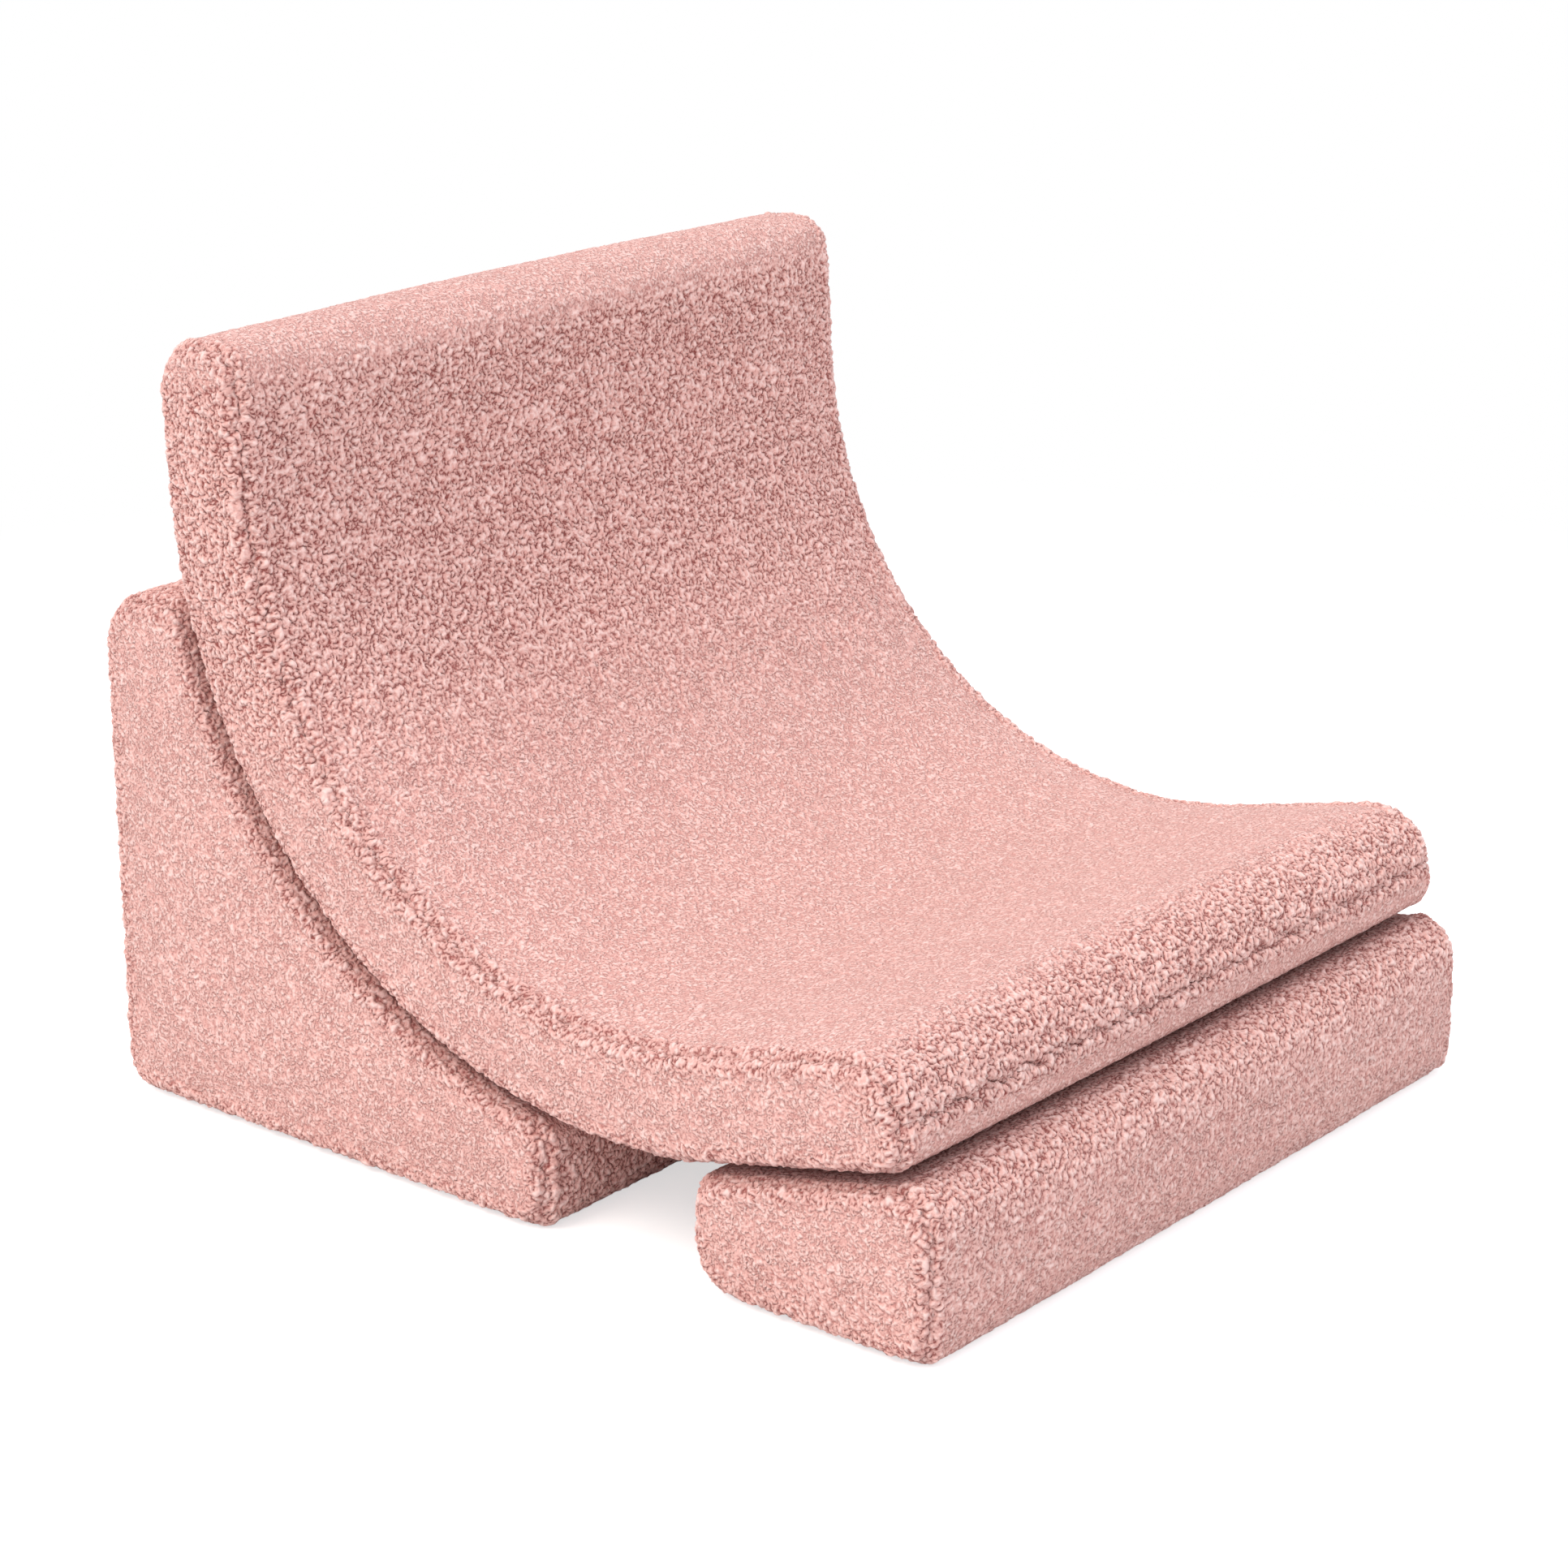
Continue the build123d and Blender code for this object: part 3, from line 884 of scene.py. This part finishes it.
    def build_cover(self, finishes: Finishes, neighbours: list[BVHTree]) -> Object:
        """Makes the sewn cover.

        Args:
            finishes: The chair's finishes.
            neighbours: The other modules' surfaces, which the cover stays clear of.

        Returns:
            The cover, which stands for the module's four sewn panels.
        """
        nodes = self.cover_nodes()
        # The foam fills the joined form, so it is copied here before build_foam replaces and hides it.
        item = self.joined_copy([*nodes, self.node("foam")], self.node("cover"))
        self.remeshed(item, self.voxel, self.even_rounds)
        self.soften(item)
        places = points_of(item)
        inset = self.inset * (0.1 + 0.9 * self.away_from_zip(places, 4.0 * MM, 14.0 * MM))
        places -= normals_of(item) * inset[:, None]
        self.settle(places)
        move_points(item, places)
        self.measure(item, neighbours)
        self.swell(item)
        self.refine(item)
        self.draw_in_seams(item)
        self.raise_curls(item, finishes.curls)
        self.open_slot(item)
        item.data.materials.append(finishes.fleece)
        select_only(item)
        bpy.ops.object.shade_smooth()
        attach(item, self.module.value)
        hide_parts(*nodes)
        log.info("%s: %d faces of curly fleece", item.name, len(item.data.polygons))
        return item

    def dress_zip(self, finishes: Finishes) -> None:
        """Gives the frame's zip pieces their woven, moulded and metal finishes."""
        outward = self.zip_outward()
        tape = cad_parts[self.node("zip_upper_half")]
        heights = points_of(tape) @ np.array(outward)
        tape_top = float(heights.min()) + finishes.zip_finish.tape_thickness
        woven = finishes.zip_finish.woven(f"Zip tape {self.module.value}", outward, tape_top)
        for piece, finish in (
            ("zip_upper_half", woven),
            ("zip_lower_half", woven),
            ("zip_stops", finishes.metal),
            ("zip_slider", finishes.metal),
            ("zip_puller", finishes.metal),
        ):
            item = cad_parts[self.node(piece)]
            item.data.materials.clear()
            item.data.materials.append(finish)
        log.info("%s: zip finished", self.module.value)

    def zip_outward(self) -> Vector:
        """Direction that the zip faces."""
        return Vector((0.0, 1.0, 0.0))

    def surface(self) -> BVHTree:
        """Surface of this module's sewn panels, as the frame has them."""
        corners, faces = [], []
        for name in self.cover_nodes():
            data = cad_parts[name].data
            first = len(corners)
            corners.extend(vertex.co.copy() for vertex in data.vertices)
            faces.extend([first + index for index in face.vertices] for face in data.polygons)
        return BVHTree.FromPolygons(corners, faces)


@dataclass
class SeatShell(FoamModule):
    """The curved seat and back, with a seam round each side and one across its nose."""

    back_lean: float = 3.2
    nose_seam_height: float = 0.141
    nose_reach: float = 0.30

    def settle(self, places: np.ndarray) -> None:
        """Leaves the shell as it is, because it rests on the other modules."""

    def seam_points(self, form: Object) -> list[Vector]:
        """Points along both gusset seams and the seam that runs across the nose."""
        points = super().seam_points(form)
        places = points_of(form)
        near = (np.abs(places[:, 2] - self.nose_seam_height) < self.voxel * 0.75) & (places[:, 1] < -self.nose_reach)
        for place in places[near & (np.abs(places[:, 0]) < self.gusset_seam)]:
            points.append(Vector((place[0], place[1], self.nose_seam_height)))
        return points

    def seam_strength(self, places: np.ndarray) -> np.ndarray:
        """Draws the seam across the nose in more than the gusset seams."""
        nose = (places[:, 1] < -self.nose_reach) & (np.abs(places[:, 0]) < self.gusset_seam - 10 * MM)
        return np.where(nose, 1.6, 1.0)

    def zip_outward(self) -> Vector:
        """Direction that the zip behind the back faces."""
        lean = math.radians(self.back_lean)
        return Vector((0.0, math.cos(lean), -math.sin(lean)))

    def looseness(self, places: np.ndarray, normals: np.ndarray) -> np.ndarray:
        """Brushed flat on the seat and the top edge, loose up the back and on the nose, calm on the sides."""
        y, z = places[:, 1], places[:, 2]
        back = 0.12 + 0.60 * ramp(z, 0.15, 0.36) - 0.54 * ramp(z, 0.46, 0.49)
        nose = 0.8 * ramp(-y, 0.24, 0.31) * ramp(z, self.nose_seam_height - 8 * MM, self.nose_seam_height + 4 * MM)
        lip = 0.3 * ramp(-y, 0.30, 0.32)
        side = 0.27 * ramp(np.abs(normals[:, 0]), 0.4, 0.8)
        return np.maximum.reduce([back, nose, lip, side])


@dataclass
class RearWedge(FoamModule):
    """The wedge that carries the back of the seat shell."""

    def looseness(self, places: np.ndarray, normals: np.ndarray) -> np.ndarray:
        """Loose on its back and crest, calmer on its sides and on the hollow face that carries the shell."""
        side = ramp(np.abs(normals[:, 0]), 0.4, 0.8)
        hollow = ramp(-normals[:, 1], 0.1, 0.4) * ramp(normals[:, 2], 0.0, 0.3)
        return 0.60 - 0.33 * np.maximum(side, hollow)


@dataclass
class FrontBlock(FoamModule):
    """The low block under the front of the seat."""

    def looseness(self, places: np.ndarray, normals: np.ndarray) -> np.ndarray:
        """Loosest along the top of the front, calmer below and on the sides."""
        front = 0.36 + 0.28 * ramp(places[:, 2], 0.05, 0.12)
        return front - 0.3 * ramp(np.abs(normals[:, 0]), 0.4, 0.8) * ramp(places[:, 2], 0.02, 0.1)


@dataclass
class Studio:
    """The photograph's viewpoint, plain soft light and a pale floor."""

    photo_width: float = 1932.0
    focal_pixels: float = 4813.474
    sensor: float = 36.0
    place: tuple[float, float, float] = (-1.8160, -1.4754, 0.9831)
    pitch: float = 18.508
    heading: float = 50.762
    key_strength: float = 1.12
    key_spread: float = 30.0
    key_source: Direction = (-0.66, 0.16, 0.85)
    key_tint: Colour = (1.10, 1.0, 0.88)
    sky_strength: float = 1.04
    sky_tint: Colour = (0.93, 0.99, 1.05)
    floor_size: float = 14.0
    floor_grey: Colour = (0.72, 0.72, 0.72)
    floor_pale: Colour = (0.76, 0.76, 0.76)
    floor_glow: float = 0.6
    fade_near: float = 0.7
    fade_far: float = 1.6

    def camera(self) -> None:
        """Adds the camera at the photograph's angle."""
        data = bpy.data.cameras.new("Photo camera")
        data.sensor_width = self.sensor
        data.lens = self.focal_pixels / self.photo_width * self.sensor
        data.clip_start, data.clip_end = 0.05, 60.0
        camera = bpy.data.objects.new("Photo camera", data)
        camera.location = self.place
        camera.rotation_euler = (math.radians(90 - self.pitch), 0.0, math.radians(-self.heading))
        bpy.context.scene.collection.objects.link(camera)
        bpy.context.scene.camera = camera

    def sun(self, name: str, strength: float, spread: float, source: Direction, tint: Colour) -> None:
        """Adds a soft distant lamp.

        Args:
            name: The lamp's name.
            strength: Its strength.
            spread: Its angle across, in degrees.
            source: Direction that the light comes from.
            tint: The light's colour.
        """
        data = bpy.data.lights.new(name, "SUN")
        data.energy = strength
        data.color = tint
        data.angle = math.radians(spread)
        lamp = bpy.data.objects.new(name, data)
        lamp.rotation_mode = "QUATERNION"
        lamp.rotation_quaternion = Vector(source).to_track_quat("Z", "Y")
        bpy.context.scene.collection.objects.link(lamp)

    def lamps(self) -> None:
        """Adds one soft, slightly warm lamp high on the left."""
        self.sun("Key lamp", self.key_strength, self.key_spread, self.key_source, self.key_tint)

    def world(self) -> None:
        """Lights the chair evenly from all round, and shows plain white behind it."""
        world = bpy.data.worlds.new("Studio")
        bpy.context.scene.world = world
        world.use_nodes = True
        world.node_tree.nodes.clear()
        bench = NodeBench(world.node_tree)
        rays = bench.add("ShaderNodeLightPath")
        shown = bench.math("MAXIMUM", rays.outputs["Is Camera Ray"], rays.outputs["Is Glossy Ray"])
        shown = bench.math("MAXIMUM", shown, rays.outputs["Is Transmission Ray"])
        soft = bench.add("ShaderNodeBackground", {"Color": self.sky_tint, "Strength": self.sky_strength})
        white = bench.add("ShaderNodeBackground", {"Color": (1.0, 1.0, 1.0), "Strength": 1.0})
        mixed = bench.add("ShaderNodeMixShader", {0: shown, 1: soft.outputs[0], 2: white.outputs[0]})
        output = bench.add("ShaderNodeOutputWorld")
        bench.feed(output.inputs["Surface"], mixed.outputs[0])

    def floor(self) -> None:
        """Lays a pale floor that keeps the chair's soft shadow."""
        bpy.ops.mesh.primitive_plane_add(size=self.floor_size, location=(0.0, 0.0, 0.0))
        floor = bpy.context.view_layer.objects.active
        floor.name = "Floor"
        material = bpy.data.materials.new("Pale floor")
        material.use_nodes = True
        material.node_tree.nodes.clear()
        bench = NodeBench(material.node_tree)
        place = bench.add("ShaderNodeTexCoord").outputs["Object"]
        reach = bench.add("ShaderNodeVectorMath", {0: place}, operation="LENGTH").outputs["Value"]
        far = bench.step(reach, self.fade_near, self.fade_far)
        grain = bench.noise(place, 90.0, 3.0).outputs[0]
        colour = bench.tint(grain, self.floor_grey, self.floor_pale)
        matt = bench.add("ShaderNodeBsdfDiffuse", {"Color": colour})
        rays = bench.add("ShaderNodeLightPath")
        shown = rays.outputs["Is Camera Ray"]
        glow = bench.add("ShaderNodeEmission", {"Color": (1.0, 1.0, 1.0)})
        bench.feed(glow.inputs["Strength"], bench.math("MULTIPLY", shown, self.floor_glow))
        lit = bench.add("ShaderNodeAddShader", {0: matt.outputs[0], 1: glow.outputs[0]})
        plain = bench.add("ShaderNodeEmission", {"Color": (1.0, 1.0, 1.0), "Strength": 1.0})
        share = bench.math("MULTIPLY", far, shown)
        mixed = bench.add("ShaderNodeMixShader", {0: share, 1: lit.outputs[0], 2: plain.outputs[0]})
        output = bench.add("ShaderNodeOutputMaterial")
        bench.feed(output.inputs["Surface"], mixed.outputs[0])
        floor.data.materials.append(material)

    def build(self) -> None:
        """Sets up the camera, the lamps, the world and the floor."""
        bpy.context.scene.view_settings.view_transform = "Standard"
        self.camera()
        self.lamps()
        self.world()
        self.floor()


def main() -> None:
    """Builds the studio and the three modules in order."""
    logging.basicConfig(level=logging.INFO, format="%(message)s")
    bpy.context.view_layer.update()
    Studio().build()
    finishes = Finishes.make()
    modules = [
        SeatShell(Module.SHELL, ("seat_cover", "under_cover")),
        RearWedge(Module.WEDGE, ("upper_cover", "base_cover")),
        FrontBlock(Module.BLOCK, ("upper_cover", "base_cover")),
    ]
    surfaces = {item.module: item.surface() for item in modules}
    for item in modules:
        others = [surfaces[module] for module in Module if module is not item.module]
        item.build_cover(finishes, others)
        item.build_foam(finishes.foam)
        item.dress_zip(finishes)


if __name__ == "__main__":
    main()
